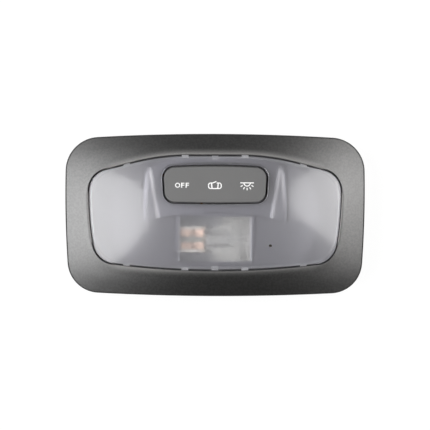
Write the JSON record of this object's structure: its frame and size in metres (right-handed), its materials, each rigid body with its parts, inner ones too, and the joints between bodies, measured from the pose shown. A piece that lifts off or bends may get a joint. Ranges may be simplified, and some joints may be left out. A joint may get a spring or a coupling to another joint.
{
  "type": "car dome light",
  "caption": "Flush car roof lamp: crowned dark bezel, clear lens over a satin reflector and wedge bulb, and a rocker switch for off, door and on; spring clips and plug socket behind.",
  "frame": {"origin": "centre of the bezel outline, on the plane of the bezel's rear rim that seats on the roof lining", "axes": "+X along the lamp, towards the ON end of the rocker; +Y across it, from the bulb window towards the rocker; +Z out of the lens, away from the roof"},
  "size_m": [0.15, 0.0812, 0.0302],
  "materials": {
    "bezel_plastic": "satin grained charcoal",
    "lens_plastic": "clear, polished outside, fine haze inside",
    "reflector_coat": "satin silver",
    "diffuser_plastic": "frosted, translucent",
    "housing_plastic": "as moulded grey",
    "rocker_plastic": "matt grey",
    "bronze": "spring bronze",
    "brass": "stamped",
    "spring_steel": "blued spring steel",
    "holder_plastic": "pale heat-resistant",
    "bulb_glass": "clear",
    "tungsten": "drawn wire",
    "lead_wire": "nickel plated",
    "zinc_steel": "zinc plated"
  },
  "bodies": {
    "lamp": {"bezel": "bezel_plastic", "lens": "lens_plastic", "reflector": "reflector_coat", "bulb_diffuser": "diffuser_plastic", "housing": "housing_plastic", "detent_leaf": "spring_steel", "bulb_holder": "holder_plastic", "bulb_glass": "bulb_glass", "bulb_filament": "tungsten", "bulb_lead_upper": "lead_wire", "bulb_lead_lower": "lead_wire", "supply_bar": "brass", "lamp_bar": "brass", "door_bar": "brass", "ground_bar": "brass", "retaining_clip_left": "spring_steel", "retaining_clip_right": "spring_steel", "housing_screws": "zinc_steel"},
    "switch": {"rocker": "rocker_plastic", "contact_bridge": "bronze"}
  },
  "joints": [
    {"name": "rocker_tilt", "type": "hinge", "parent": "lamp", "child": "switch", "pos_m": [0, 0.01525, 0.00783], "axis": [0, 1, 0], "range_deg": [-7, 7], "deforming": ["detent_leaf"]}
  ]
}
